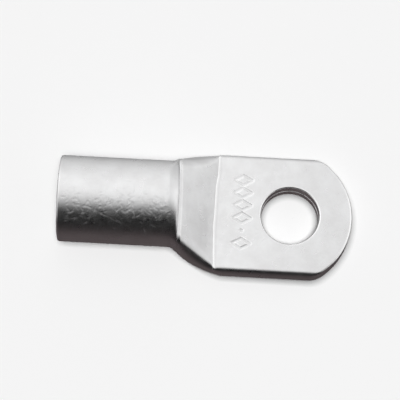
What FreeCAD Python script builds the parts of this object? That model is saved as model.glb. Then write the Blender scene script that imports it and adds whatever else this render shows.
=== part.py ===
import FreeCAD, Part
import math
import operator
import os
from types import SimpleNamespace

import Sketcher
from FreeCAD import Placement, Rotation, Vector

# A tin-plated copper cable lug, pressed from one length of round tube. The barrel takes a stranded
# conductor and is crimped round it. The other end of the tube is pressed flat into a palm of two
# touching layers, which is punched for a stud.
# Origin: centre of the stud hole, on the palm's underside, which is the contact face.
# +X runs from the barrel's mouth towards the palm's rounded end, +Z is up. Millimetres.

DRIVING_SIZES = [
    ("barrel_outer", 12.3, "outside diameter of the tube"),
    ("wall", 1.5, "wall of the tube, and each of the palm's two layers"),
    ("barrel_length", 14.2, "length of the barrel that stays round"),
    ("bore_past", 1.2, "how far the round bore goes on past the round barrel"),
    ("neck_length", 2.35, "length over which the barrel's crown sinks towards the step"),
    ("neck_sink", 0.9, "how far the crown sinks there"),
    ("ledge_round", 0.5, "rounding on the step's upper edge"),
    ("ledge_lean", 0.2, "how far the step leans back over its height"),
    ("ledge_land", 0.35, "flat land at the foot of the step"),
    ("ridge_height", 8.0, "height of that land above the contact face"),
    ("ridge_round", 0.8, "rounding between the land and the sloping facet"),
    ("facet_run", 5.1, "length along X from the land to the bend"),
    ("crease_reach", 10.5, "stud hole's centre to the bend between facet and palm"),
    ("flare_past_crease", 0.9, "how far past the bend the palm comes to its full width"),
    ("palm_width", 18.2, "width of the palm over its folded edges"),
    ("axis_height", 5.6, "barrel's axis above the contact face"),
    ("crown_spare", 1.3, "how far the free tube stands above the facet's upper end"),
    ("end_reach", 8.95, "stud hole's centre to the palm's rounded end"),
    ("end_spare", 0.6, "how far the end's radius exceeds half the palm's width"),
    ("stud_hole", 8.4, "clearance hole for an M8 stud"),
    ("flare_at_step", 0.155, "share of the change from round to flat above the step"),
    ("flare_at_land", 0.27, "the same share at the step's foot"),
    ("flare_at_facet", 0.54, "the same share on the sloping facet"),
    ("flare_at_bend", 0.80, "the same share just above the bend"),
    ("mouth_break", 0.3, "chamfer on the mouth's outer edge"),
    ("bore_break", 0.4, "chamfer on the mouth's inner edge"),
    ("punch_break", 0.2, "broken edge where the punch entered the stud hole and the end"),
    ("layer_gap", 0.06, "gap left between the layers where the bore closes"),
]

# Where the two middle stations of the shoulder lie between the step, 0, and the bend, 1.
FACET_STATION = 0.3
BEND_STATION = 0.7

# The rounded upper edge of the step: where its middle station lies, and how far the crown has dropped
# there and at the step, as shares of the rounding.
ROLL_SHARE = 0.6
ROLL_DROP = 0.2
STEP_DROP = 0.75

# The least share of the bore's own volume that has to be gone once it is cut.
BORE_CUT = 0.5

# How closely an edge has to match the place it is looked for, in millimetres.
CLOSE = 0.02

doc = FreeCAD.newDocument("cable_lug")

sheet = doc.addObject("Spreadsheet::Sheet", "Sizes")
for row, (alias, size, meaning) in enumerate(DRIVING_SIZES, start=1):
    sheet.set("A%d" % row, meaning)
    sheet.set("B%d" % row, str(size))
    sheet.setAlias("B%d" % row, alias)
doc.recompute()


class Size:
    """A number of the sheet, or one worked out from such numbers, with the expression that binds it."""

    STEPS = {"+": operator.add, "-": operator.sub, "*": operator.mul, "/": operator.truediv}

    def __init__(self, expression, value):
        self.expression = expression
        self.value = float(value)

    @classmethod
    def wrap(cls, other):
        return other if isinstance(other, cls) else cls("%g" % other, other)

    @classmethod
    def work_out(cls, left, sign, right):
        left, right = cls.wrap(left), cls.wrap(right)
        expression = "(%s %s %s)" % (left.expression, sign, right.expression)
        return cls(expression, cls.STEPS[sign](left.value, right.value))

    def __add__(self, other):
        return self.work_out(self, "+", other)

    def __sub__(self, other):
        return self.work_out(self, "-", other)

    def __rsub__(self, other):
        return self.work_out(other, "-", self)

    def __mul__(self, other):
        return self.work_out(self, "*", other)

    def __truediv__(self, other):
        return self.work_out(self, "/", other)

    def __neg__(self):
        return self.work_out(0, "-", self)

    def __float__(self):
        return self.value


sizes = SimpleNamespace(**{alias: Size("Sizes." + alias, sheet.get(alias)) for alias, _, _ in DRIVING_SIZES})

body = doc.addObject("PartDesign::Body", "cable_lug")
body.Label = "cable_lug"
UP = Vector(0, 0, 1)


def bind(item, prop, size):
    """Gives a property its size and the expression that keeps it."""
    setattr(item, prop, size.value)
    item.setExpression(prop, size.expression)


def add(kind, name, **settings):
    """A feature of the body; a setting that is a Size is bound to the sheet."""
    feature = body.newObject("PartDesign::" + kind, name)
    for prop, setting in settings.items():
        if isinstance(setting, Size):
            bind(feature, prop, setting)
        else:
            setattr(feature, prop, setting)
    doc.recompute()
    return feature


def new_sketch(name, role, offset=None):
    """A sketch on one of the body's origin planes, moved along the plane's normal."""
    plane = [feature for feature in body.Origin.OriginFeatures if feature.Role == role][0]
    sketch = body.newObject("Sketcher::SketchObject", name)
    sketch.AttachmentSupport = [(plane, "")]
    sketch.MapMode = "FlatFace"
    if offset is not None:
        sketch.AttachmentOffset = Placement(Vector(0, 0, offset.value), Rotation())
        sketch.setExpression("AttachmentOffset.Base.z", offset.expression)
    return sketch


def drive(sketch, kind, elements, size):
    """Adds a dimension to a sketch and binds it."""
    index = sketch.addConstraint(Sketcher.Constraint(kind, *elements, size.value))
    sketch.setExpression("Constraints[%d]" % index, size.expression)


def polygon(sketch, corners):
    """Straight edges through the corners, the last one back to the first."""
    for (x0, y0), (x1, y1) in zip(corners, corners[1:] + corners[:1]):
        sketch.addGeometry(Part.LineSegment(Vector(x0, y0, 0), Vector(x1, y1, 0)), False)
    for this in range(len(corners)):
        sketch.addConstraint(Sketcher.Constraint("Coincident", this, 2, (this + 1) % len(corners), 1))


def circle_sketch(name, role, diameter, offset=None, rise=None):
    """A circle at the sketch's origin, or at a height above it."""
    sketch = new_sketch(name, role, offset)
    height = 0 if rise is None else rise.value
    sketch.addGeometry(Part.Circle(Vector(0, height, 0), UP, diameter.value / 2), False)
    if rise is None:
        sketch.addConstraint(Sketcher.Constraint("Coincident", 0, 3, -1, 1))
    else:
        sketch.addConstraint(Sketcher.Constraint("PointOnObject", 0, 3, -2))
        drive(sketch, "DistanceY", (-1, 1, 0, 3), rise)
    drive(sketch, "Diameter", (0,), diameter)
    return sketch


def oval_sketch(name, offset, half_width, top, level, bottom):
    """A tube's section part way to flat: a flat top and bottom, and two arcs down each side.

    The arcs of a side meet upright at the widest point, which lies at the given level.
    """
    sketch = new_sketch(name, "YZ_Plane", offset)
    upper, lower = (top - level).value, (level - bottom).value
    flat_top, flat_bottom = half_width.value - upper, half_width.value - lower

    def side_arc(centre_y, radius, start, end):
        circle = Part.Circle(Vector(centre_y, level.value, 0), UP, radius)
        return Part.ArcOfCircle(circle, math.radians(start), math.radians(end))

    edges = [
        Part.LineSegment(Vector(-flat_bottom, bottom.value, 0), Vector(flat_bottom, bottom.value, 0)),
        side_arc(flat_bottom, lower, -90, 0),
        side_arc(flat_top, upper, 0, 90),
        Part.LineSegment(Vector(flat_top, top.value, 0), Vector(-flat_top, top.value, 0)),
        side_arc(-flat_top, upper, 90, 180),
        side_arc(-flat_bottom, lower, 180, 270),
    ]
    sketch.addGeometry(edges, False)
    for this, that in ((0, 1), (1, 2), (2, 3), (3, 4), (4, 5), (5, 0)):
        sketch.addConstraint(Sketcher.Constraint("Tangent", this, 2, that, 1))
    sketch.addConstraint(Sketcher.Constraint("Symmetric", 0, 1, 0, 2, -2))
    sketch.addConstraint(Sketcher.Constraint("Horizontal", 3))
    sketch.addConstraint(Sketcher.Constraint("Horizontal", 2, 3, 2, 1))
    sketch.addConstraint(Sketcher.Constraint("Symmetric", 1, 2, 4, 2, -2))
    drive(sketch, "DistanceX", (-1, 1, 1, 2), half_width)
    drive(sketch, "DistanceY", (-1, 1, 1, 2), level)
    drive(sketch, "DistanceY", (-1, 1, 0, 1), bottom)
    drive(sketch, "DistanceY", (-1, 1, 2, 2), top)
    return sketch


def round_section(name, offset, diameter, half_bottom, half_top):
    """The round tube's section in six arcs, which match the edges of an oval_sketch one by one."""
    sketch = new_sketch(name, "YZ_Plane", offset)
    radius, middle = diameter.value / 2, sizes.axis_height.value
    bottom_turn = math.degrees(math.asin(half_bottom.value / radius))
    top_turn = math.degrees(math.asin(half_top.value / radius))
    splits = [-90 - bottom_turn, -90 + bottom_turn, 0, 90 - top_turn, 90 + top_turn, 180, 270 - bottom_turn]
    circle = Part.Circle(Vector(0, middle, 0), UP, radius)
    for start, end in zip(splits, splits[1:]):
        sketch.addGeometry(Part.ArcOfCircle(circle, math.radians(start), math.radians(end)), False)
    for this in range(5):
        sketch.addConstraint(Sketcher.Constraint("Coincident", this, 2, this + 1, 1))
        sketch.addConstraint(Sketcher.Constraint("Coincident", this, 3, this + 1, 3))
    sketch.addConstraint(Sketcher.Constraint("Horizontal", 5, 2, 0, 1))
    sketch.addConstraint(Sketcher.Constraint("PointOnObject", 0, 3, -2))
    for level_pair in ((0, 1, 0, 2), (3, 1, 3, 2), (2, 1, 2, 3), (5, 1, 5, 3)):
        sketch.addConstraint(Sketcher.Constraint("Horizontal", *level_pair))
    drive(sketch, "DistanceY", (-1, 1, 0, 3), sizes.axis_height)
    drive(sketch, "Diameter", (2,), diameter)
    drive(sketch, "DistanceX", (-1, 1, 0, 2), half_bottom)
    drive(sketch, "DistanceX", (-1, 1, 2, 2), half_top)
    return sketch


def blend(start, end, share):
    """A size that goes from one size to another by a share."""
    return start * (1 - Size.wrap(share)) + end * share


half_barrel = sizes.barrel_outer / 2
half_palm = sizes.palm_width / 2
palm_top = sizes.wall * 2
crown = sizes.axis_height + half_barrel
bore_diameter = sizes.barrel_outer - palm_top

# How far each station lies from the stud hole's centre.
palm_reach = sizes.crease_reach - sizes.flare_past_crease
land_reach = sizes.crease_reach + sizes.facet_run
step_reach = land_reach + sizes.ledge_land
roll_reach = step_reach + sizes.ledge_round
neck_reach = roll_reach + sizes.neck_length
mouth_reach = neck_reach + sizes.barrel_length


def flared(share):
    """Half width, level of the widest point, and bottom of the tube at a share of its flare."""
    return (
        blend(half_barrel, half_palm, share),
        blend(sizes.axis_height, sizes.wall, share),
        blend(sizes.axis_height - half_barrel, Size.wrap(0), share),
    )


def facet_height(reach):
    """Height of the sloping facet's plane at a reach from the stud hole."""
    slope = (sizes.ridge_height - palm_top) / sizes.facet_run
    return palm_top + (reach - sizes.crease_reach) * slope


# Barrel: the tube, left round
mouth = (-mouth_reach, sizes.axis_height)
barrel_circle = circle_sketch("BarrelSection", "YZ_Plane", sizes.barrel_outer, *mouth)
add("Pad", "Barrel", Profile=barrel_circle, Type="Length", Length=sizes.barrel_length)

# Neck: the tube's crown sinks and its sides begin to flare
sunk_crown = crown - sizes.neck_sink
wide, level, bottom = flared(sizes.flare_at_step)
neck_flats = (wide - (level - bottom), wide - (sunk_crown - level))
neck_start = round_section("NeckSection", -neck_reach, sizes.barrel_outer, *neck_flats)
roll_start = oval_sketch("RollStart", -roll_reach, wide, sunk_crown, level, bottom)
add("AdditiveLoft", "Neck", Profile=neck_start, Sections=[roll_start], Ruled=True)

# Roll: the crown turns down over the step's upper edge
middle_reach = blend(roll_reach, step_reach, ROLL_SHARE)
wide, level, bottom = flared(blend(sizes.flare_at_step, sizes.flare_at_land, ROLL_SHARE))
roll_top = sunk_crown - sizes.ledge_round * ROLL_DROP
roll_middle = oval_sketch("RollMiddle", -middle_reach, wide, roll_top, level, bottom)
wide, level, bottom = flared(sizes.flare_at_land)
step_crown = sunk_crown - sizes.ledge_round * STEP_DROP
step_section = oval_sketch("StepSection", -step_reach, wide, step_crown, level, bottom)
add("AdditiveLoft", "Roll", Profile=roll_start, Sections=[roll_middle, step_section], Ruled=True)

# Shoulder: the free form of the tube between the step and the palm, before the press
facet_reach = blend(step_reach, sizes.crease_reach, FACET_STATION)
near_bend = blend(step_reach, sizes.crease_reach, BEND_STATION)
wide, level, bottom = flared(sizes.flare_at_facet)
facet_top = facet_height(facet_reach) + sizes.crown_spare
facet_section = oval_sketch("FacetSection", -facet_reach, wide, facet_top, level, bottom)
wide, level, bottom = flared(sizes.flare_at_bend)
bend_top = facet_height(near_bend) + sizes.crown_spare / 2
bend_section = oval_sketch("BendSection", -near_bend, wide, bend_top, level, bottom)
palm_section = oval_sketch("PalmSection", -palm_reach, half_palm, palm_top, sizes.wall, Size.wrap(0))
free_form = [facet_section, bend_section, palm_section]
add("AdditiveLoft", "Shoulder", Profile=step_section, Sections=free_form, Ruled=False)

# Palm: two layers with folded long edges, still square at its end
palm_blank = oval_sketch("PalmBlank", -palm_reach, half_palm, palm_top, sizes.wall, Size.wrap(0))
add("Pad", "Palm", Profile=palm_blank, Type="Length", Length=palm_reach + sizes.end_reach)


# Press: everything above the step, its land, the sloping facet and the palm's top face
def press_sketch():
    """The press tool's outline, seen from the side."""
    sketch = new_sketch("PressOutline", "XZ_Plane")
    step_top = step_reach + sizes.ledge_lean
    clear = sizes.axis_height + sizes.barrel_outer
    past_end = sizes.end_reach + sizes.barrel_outer
    corners = [
        (-step_top, clear),
        (-step_reach, sizes.ridge_height),
        (-land_reach, sizes.ridge_height),
        (-sizes.crease_reach, palm_top),
        (past_end, palm_top),
        (past_end, clear),
    ]
    polygon(sketch, [(float(x), float(z)) for x, z in corners])
    for level_edge in (1, 3, 5):
        sketch.addConstraint(Sketcher.Constraint("Horizontal", level_edge))
    sketch.addConstraint(Sketcher.Constraint("Vertical", 4))
    for corner, reach in enumerate((step_top, step_reach, land_reach, sizes.crease_reach)):
        drive(sketch, "DistanceX", (corner, 1, -1, 1), reach)
    drive(sketch, "DistanceX", (-1, 1, 4, 1), past_end)
    drive(sketch, "DistanceY", (-1, 1, 1, 1), sizes.ridge_height)
    drive(sketch, "DistanceY", (-1, 1, 3, 1), palm_top)
    drive(sketch, "DistanceY", (-1, 1, 5, 1), clear)
    return sketch


add("Pocket", "Press", Profile=press_sketch(), Type="ThroughAll", Midplane=True)


# End: punched off in an arc a little wider than the palm
def end_sketch():
    """What the punch takes off outside the palm's rounded end, seen from above."""
    sketch = new_sketch("EndOutline", "XY_Plane")
    radius = half_palm + sizes.end_spare
    middle = sizes.end_reach - radius
    past_end = sizes.end_reach + sizes.wall
    past_side = radius + sizes.wall
    circle = Part.Circle(Vector(middle.value, 0, 0), UP, radius.value)
    sketch.addGeometry(Part.ArcOfCircle(circle, -math.pi / 2, math.pi / 2), False)
    corners = [
        (middle, radius),
        (middle, past_side),
        (past_end, past_side),
        (past_end, -past_side),
        (middle, -past_side),
        (middle, -radius),
    ]
    points = [Vector(float(x), float(y), 0) for x, y in corners]
    for start, end in zip(points, points[1:]):
        sketch.addGeometry(Part.LineSegment(start, end), False)
    for this in range(len(corners)):
        sketch.addConstraint(Sketcher.Constraint("Coincident", this, 2, (this + 1) % len(corners), 1))
    for upright in (1, 3, 5):
        sketch.addConstraint(Sketcher.Constraint("Vertical", upright))
    for level_edge in (2, 4):
        sketch.addConstraint(Sketcher.Constraint("Horizontal", level_edge))
    sketch.addConstraint(Sketcher.Constraint("PointOnObject", 0, 3, -1))
    sketch.addConstraint(Sketcher.Constraint("Vertical", 0, 3, 0, 2))
    sketch.addConstraint(Sketcher.Constraint("Vertical", 0, 3, 0, 1))
    drive(sketch, "Radius", (0,), radius)
    drive(sketch, "DistanceX", (0, 3, -1, 1), -middle)
    drive(sketch, "DistanceX", (-1, 1, 3, 1), past_end)
    drive(sketch, "DistanceY", (-1, 1, 3, 1), past_side)
    drive(sketch, "DistanceY", (3, 2, -1, 1), past_side)
    return sketch


add("Pocket", "RoundedEnd", Profile=end_sketch(), Type="ThroughAll", Midplane=True)

# Stud hole
stud_circle = circle_sketch("StudCircle", "XY_Plane", sizes.stud_hole)
add("Pocket", "StudHole", Profile=stud_circle, Type="ThroughAll", Midplane=True)

# Bore: round as far as the crimp needs, then closing into the line between the palm's two layers
bore_circle = circle_sketch("BoreCircle", "YZ_Plane", bore_diameter, *mouth)
before_bore = body.Shape.Volume
bore_depth = sizes.barrel_length + sizes.bore_past
add("Pocket", "Bore", Profile=bore_circle, Type="Length", Reversed=True, Length=bore_depth)
bore_volume = math.pi / 4 * bore_diameter.value ** 2 * bore_depth.value
if before_bore - body.Shape.Volume < BORE_CUT * bore_volume:
    raise RuntimeError("the bore points the wrong way")

wide, level, bottom = flared(sizes.flare_at_land)
inner_wide, inner_top, inner_bottom = wide - sizes.wall, sizes.ridge_height - sizes.wall, bottom + sizes.wall
bore_flats = (inner_wide - (level - inner_bottom), inner_wide - (inner_top - level))
bore_end = round_section("BoreEnd", bore_depth - mouth_reach, bore_diameter, *bore_flats)
closing = oval_sketch("ClosingSection", -step_reach, inner_wide, inner_top, level, inner_bottom)
wide, _, _ = flared(sizes.flare_at_bend)
half_gap = sizes.layer_gap / 2
slit_sizes = (wide - sizes.wall, sizes.wall + half_gap, sizes.wall, sizes.wall - half_gap)
slit = oval_sketch("SlitSection", -sizes.crease_reach, *slit_sizes)
add("SubtractiveLoft", "ClosedBore", Profile=bore_end, Sections=[closing, slit], Ruled=True)


# Edges: broken where press, punch and cutter leave them so
def close_to(value, target):
    return abs(value - float(target)) < CLOSE


def break_edges(kind, name, belongs, **settings):
    """Rounds or chamfers those edges of the shape so far that belong to a place."""
    edges = enumerate(body.Shape.Edges, start=1)
    names = ["Edge%d" % number for number, edge in edges if belongs(edge.BoundBox)]
    if not names:
        raise RuntimeError("no edge found for %s" % name)
    return add(kind, name, Base=(body.Tip, names), **settings)


def on_ridge(box):
    return close_to(box.XMin, -land_reach) and close_to(box.XMax, -land_reach)


def on_mouth(radius):
    """The test for the whole circle of a radius round the mouth."""
    def belongs(box):
        flat = close_to(box.XMin, -mouth_reach) and close_to(box.XMax, -mouth_reach)
        return flat and close_to(box.YLength, radius * 2)
    return belongs


def on_stud_rim(box):
    return close_to(box.ZMin, palm_top) and close_to(box.XLength, sizes.stud_hole)


def on_end_rim(box):
    level = close_to(box.ZMin, palm_top) and close_to(box.ZMax, palm_top)
    return level and close_to(box.XMax, sizes.end_reach)


break_edges("Fillet", "RidgeRound", on_ridge, Radius=sizes.ridge_round)
break_edges("Chamfer", "MouthBreak", on_mouth(half_barrel), Size=sizes.mouth_break)
break_edges("Chamfer", "BoreLead", on_mouth(bore_diameter / 2), Size=sizes.bore_break)
break_edges("Chamfer", "StudRim", on_stud_rim, Size=sizes.punch_break)
break_edges("Chamfer", "EndRim", on_end_rim, Size=sizes.punch_break)

failed = [item.Name for item in doc.Objects if "Invalid" in item.State or "Error" in item.State]
if failed:
    raise RuntimeError("features failed: %s" % ", ".join(failed))
if body.Shape.isNull() or not body.Shape.isValid():
    raise RuntimeError("the lug's shape isn't valid")

os.makedirs("parts", exist_ok=True)
body.Shape.exportStep("parts/%s.step" % body.Label)
print("%s: %.1f mm3" % (body.Label, body.Shape.Volume))
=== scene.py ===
# %% [markdown]
# # A tin-plated cable lug
#
# A tube lug joins a stranded conductor to a stud. One end of a copper tube stays round, to be crimped
# on the conductor. The press flattens the other end into a palm of two touching layers, and a punch
# cuts the stud hole and the rounded end. The tube is then plated with tin, which gives its satin grey.
#
# The whole lug is one piece of metal, so this script makes one closed mesh. It is laid out in rows and
# columns of points, worked out from a handful of sizes, because a regular net of small faces takes
# soft dents, struck marks and rounded edges without any wrinkle in its reflections.

# %% Start: load the fixed frame
import math

import bmesh
import bpy
import numpy as np
from mathutils import Matrix, Vector


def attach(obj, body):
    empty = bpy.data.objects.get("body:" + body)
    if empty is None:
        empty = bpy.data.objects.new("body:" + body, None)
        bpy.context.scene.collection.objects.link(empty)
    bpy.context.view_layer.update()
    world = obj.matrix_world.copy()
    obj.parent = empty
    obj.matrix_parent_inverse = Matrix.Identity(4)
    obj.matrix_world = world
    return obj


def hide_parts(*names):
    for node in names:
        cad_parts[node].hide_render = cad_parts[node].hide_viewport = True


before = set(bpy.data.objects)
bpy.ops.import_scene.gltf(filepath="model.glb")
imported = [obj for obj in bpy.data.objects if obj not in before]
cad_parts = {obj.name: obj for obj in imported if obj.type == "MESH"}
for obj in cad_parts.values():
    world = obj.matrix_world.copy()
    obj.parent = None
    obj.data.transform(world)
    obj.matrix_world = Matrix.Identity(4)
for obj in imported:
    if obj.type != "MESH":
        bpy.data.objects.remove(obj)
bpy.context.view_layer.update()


# %% [markdown]
# ## Sizes
#
# The sizes are in millimetres, as on a maker's drawing, and are turned into metres only when a mesh is
# made. The origin is the centre of the stud hole on the palm's underside. X runs towards the palm's
# rounded end, so every reach on the barrel's side is negative.

# %% Sizes of the tube and the press tool
MM = 0.001
TUBE_RADIUS = 6.15
WALL = 1.5
BORE_RADIUS = TUBE_RADIUS - WALL
AXIS_HEIGHT = 5.6
MOUTH_X = -33.0
NECK_X = -18.8
STEP_X = -15.95
RIDGE_X = -15.6
BEND_X = -10.5
PALM_X = -9.6
RIDGE_HEIGHT = 8.0
PALM_TOP = 2 * WALL
HALF_PALM = 9.0
PALM_CORNER = 8.41
PALM_FLAT = 8.05
END_RADIUS = 10.25
END_CENTRE_X = -1.3
HOLE_RADIUS = 4.2
print("overall length %.2f mm" % (END_CENTRE_X + END_RADIUS - MOUTH_X))


# %% [markdown]
# ## How a round tube becomes a flat palm
#
# Seen from above, the tube grows wider as it gets flatter. A few stations along X, read from
# the real lug, say how far the change has come: 0 is the round tube and 1 is the flat palm. More
# stations give the half width of the pressed top, how much of it the soft corner takes, and how the
# round crown sinks before the step. A smooth monotone curve through the stations gives every place
# between them, so the sides have no kinks.

# %% A smooth curve through a few stations
def smooth_through(stations, x):
    """Monotone cubic curve through (place, value) stations, read at x."""
    xs = np.array([place for place, _ in stations], float)
    ys = np.array([value for _, value in stations], float)
    gaps = np.diff(xs)
    slopes = np.diff(ys) / gaps
    tangents = np.concatenate([[slopes[0]], np.zeros(len(slopes) - 1), [slopes[-1]]])
    for i in range(1, len(slopes)):
        if slopes[i - 1] * slopes[i] > 0:
            tangents[i] = 2 * slopes[i - 1] * slopes[i] / (slopes[i - 1] + slopes[i])
    x = np.clip(np.asarray(x, float), xs[0], xs[-1])
    i = np.clip(np.searchsorted(xs, x, side="right") - 1, 0, len(gaps) - 1)
    u = (x - xs[i]) / gaps[i]
    a = (1 + 2 * u) * (1 - u) ** 2 * ys[i]
    b = u * (1 - u) ** 2 * gaps[i] * tangents[i]
    c = u ** 2 * (3 - 2 * u) * ys[i + 1]
    d = u ** 2 * (u - 1) * gaps[i] * tangents[i + 1]
    return a + b + c + d


print("halfway between 0 and 1: %.2f" % smooth_through([(0, 0), (1, 1)], 0.5))

# %% Stations along X
FLARE = [
    (NECK_X, 0), (-17.4, 0.0), (-16.9, 0.025), (-16.5, 0.1), (-14.85, 0.45), (-13.1, 0.7), (-11.4, 0.87),
    (PALM_X, 1),
]
FACET_EDGE = [
    (STEP_X, 5.7), (-14.4, 5.85), (-13.2, 6.2), (-12.0, 6.85), (-11.0, 7.85), (BEND_X, 8.56), (-10.0, 8.46),
    (PALM_X, PALM_CORNER),
]
SOFT_EDGE = [
    (NECK_X, 0.3), (STEP_X, 0.9), (-13.6, 0.85), (-11.8, 0.6), (BEND_X, 0.34), (PALM_X, PALM_CORNER - PALM_FLAT),
]
CROWN = [(NECK_X, AXIS_HEIGHT + TUBE_RADIUS), (-17.3, 11.73), (-16.8, 11.65), (-16.35, 11.49), (STEP_X, 11.28)]
for place in (-18, -16, -14, -12, -10):
    print("flare at X %d: %.2f" % (place, smooth_through(FLARE, place)))


# %% [markdown]
# ## One slice of the tube
#
# A slice across X has a top, two sides and a bottom. Behind the step the top is still the round crown.
# In front of it the press has cut the top flat. Each side is an arc from the top's end out to the
# widest point and a second arc back under to the flat bottom. Every slice has the same number of
# points in each part, so neighbouring slices can be joined face by face.

# %% The main sizes of a slice
def slice_sizes(x):
    """Half width, level of the widest point, bottom, and reach of the lower rounding, at x."""
    share = float(smooth_through(FLARE, x))
    half = TUBE_RADIUS + (HALF_PALM - TUBE_RADIUS) * share
    level = AXIS_HEIGHT + (WALL - AXIS_HEIGHT) * share
    bottom = (AXIS_HEIGHT - TUBE_RADIUS) * (1 - share)
    tuck = TUBE_RADIUS + (HALF_PALM - PALM_FLAT - TUBE_RADIUS) * share
    return half, level, bottom, tuck


widths = [round(slice_sizes(x)[0], 2) for x in (NECK_X, STEP_X, PALM_X)]
print("half width at the neck, the step and the palm:", widths)

# %% Sides and bottom of a slice
TOP_POINTS = 96
EDGE_POINTS = 10
UPPER_POINTS = 8
LOWER_POINTS = 12


def side_of_slice(x, start, corner):
    """From a start on the top over the softened corner, and down the +Y side to the flat bottom."""
    half, level, bottom, tuck = slice_sizes(x)
    drop, out = corner[1] - level, half - corner[0]
    radius = (drop ** 2 + out ** 2) / (2 * out)
    soft = float(smooth_through(SOFT_EDGE, x))
    first = math.asin(max(-1.0, min(1.0, drop / radius)))
    turn = np.linspace(first - min(soft / radius, 0.6 * first), 0, UPPER_POINTS + 1)
    upper = np.stack([half - radius + radius * np.cos(turn), level + radius * np.sin(turn)], 1)
    u = np.linspace(0, 1, EDGE_POINTS + 1)[:-1, None]
    edge = (1 - u) ** 2 * start + 2 * u * (1 - u) * np.asarray(corner) + u ** 2 * upper[0]
    turn = np.linspace(0, math.pi / 2, LOWER_POINTS + 1)
    lower = np.stack([half - tuck + tuck * np.cos(turn), level - (level - bottom) * np.sin(turn)], 1)
    return np.concatenate([edge, upper[:-1], lower])


def whole_slice(x, top, corner):
    """The ring of points: the top from -Y to +Y, the +Y side, the bottom and the -Y side."""
    side = side_of_slice(x, top[-1], corner)
    flat = np.linspace(side[-1, 0], -side[-1, 0], TOP_POINTS + 1)
    base = np.stack([flat, np.full(len(flat), side[-1, 1])], 1)
    left = side[::-1] * [-1, 1]
    return np.concatenate([top, side[1:-1], base, left[1:-1]])


print("points down one side:", EDGE_POINTS + UPPER_POINTS + LOWER_POINTS)

# %% A round slice and a pressed slice
SPLIT = math.radians(56)


def round_slice(x):
    """A slice of the barrel or the neck, whose top is still round."""
    half, level, _, _ = slice_sizes(x)
    radius = float(smooth_through(CROWN, x)) - level
    soft = float(smooth_through(SOFT_EDGE, x)) / radius
    turn = np.append(np.linspace(soft - SPLIT, SPLIT - soft, TOP_POINTS + 1), SPLIT)
    across = radius * np.sin(turn) + (half - radius) * np.sin(turn) / math.sin(SPLIT)
    points = np.stack([across, level + radius * np.cos(turn)], 1)
    return whole_slice(x, points[:-1], points[-1])


def pressed_slice(x, height):
    """A slice in front of the step, pressed flat at a height."""
    edge = float(smooth_through(FACET_EDGE, x))
    flat = edge - float(smooth_through(SOFT_EDGE, x))
    across = np.linspace(-flat, flat, TOP_POINTS + 1)
    top = np.stack([across, np.full(len(across), height)], 1)
    return whole_slice(x, top, (edge, height))


print("points in a slice:", len(round_slice(-20)), len(pressed_slice(-12, 4)))


# %% [markdown]
# ## The outer skin, from the mouth to the palm
#
# The barrel and the neck are plain rows of slices. At the step the crown rolls over a small radius
# into a nearly upright wall, which ends on a narrow land. The rows of the roll and the wall differ
# only in their top part, so their sides fall on the same points, and those doubles are merged later.
# From the land the metal rolls into the sloping facet, which meets the palm in a crisp bend. The
# press leaves a fine burnished bead along that bend, so two rows are lifted by a hair.
#
# A pressed line is never quite straight, because the tube's wall gives way unevenly. So the ridge
# above the facet and the bend below it each wander by a fraction of a millimetre. With both waves set
# to zero the lug starts to look drawn.

# %% The crown's roll and the wall of the step
ROLL = 0.6
ROLL_START = math.radians(26)
RIDGE_WAVE = [(0, 0), (2.4, -0.08), (4.4, -0.18), (5.2, -0.25), (5.8, -0.3), (6.6, -0.12), (7.4, 0)]


def with_x(points, x):
    """The points of a slice, set at an X or at one X each."""
    return np.column_stack([np.broadcast_to(x, len(points)), points])


def step_rows():
    """The crown's roll over the step, and the step's wall down to the land."""
    foot = pressed_slice(STEP_X, RIDGE_HEIGHT)
    crown = round_slice(STEP_X)
    tall = np.where(crown[:, 1] > slice_sizes(STEP_X)[1], crown[:, 1] - foot[:, 1], 0).clip(0)
    radius = np.minimum(ROLL, 0.6 * tall)
    rows = []
    for turn in np.linspace(ROLL_START, math.pi / 2, 9):
        row = with_x(crown, STEP_X - radius * (1 - math.sin(turn)))
        row[:, 2] -= radius * (math.cos(ROLL_START) - math.cos(turn))
        rows.append(row)
    rolled = rows[-1][:, 1:]
    for share in np.linspace(0, 1, 11)[1:]:
        rows.append(with_x(rolled + (foot - rolled) * share, STEP_X))
    for row in rows:
        row[:, 0] += smooth_through(RIDGE_WAVE, row[:, 1])
    return rows


steps = step_rows()
print("rows of the step:", len(steps))

# %% The barrel and the neck
MOUTH_BREAK = 0.3


def neck_rows(first_roll_row):
    """From the round barrel to the row where the roll begins, which bows with the step's height."""
    rows = []
    for x in np.linspace(NECK_X, STEP_X, 18)[:-1]:
        share = (x - NECK_X) / (STEP_X - NECK_X)
        row = with_x(round_slice(x), x)
        row[:, 0] = NECK_X + (first_roll_row[:, 0] - NECK_X) * share
        rows.append(row)
    return rows


barrel_rows = [with_x(round_slice(NECK_X), x) for x in np.linspace(MOUTH_X + MOUTH_BREAK, NECK_X, 136)[:-1]]
print("rows of the barrel:", len(barrel_rows))

# %% The land, the facet and the bend
RIDGE_ROUND = 0.5
BEAD_HEIGHT = 0.1
BEAD_START = BEND_X - 0.16
BEAD_END = BEND_X + 0.2
BEAD_ROWS = [(BEND_X - 0.1, 0.7), (BEND_X - 0.02, 1.0), (BEND_X + 0.06, 0.9), (BEAD_END, 0.0)]
BEND_WAVE = [
    (-8.6, -0.05), (-5.9, -0.18), (-4.0, -0.25), (-2.0, -0.3), (-0.1, -0.23), (1.8, -0.21), (3.8, -0.18),
    (5.7, 0.03), (8.6, 0.08),
]


def facet_height(x):
    """Height of the sloping facet at x."""
    return PALM_TOP + (BEND_X - x) * (RIDGE_HEIGHT - PALM_TOP) / (BEND_X - RIDGE_X)


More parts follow.
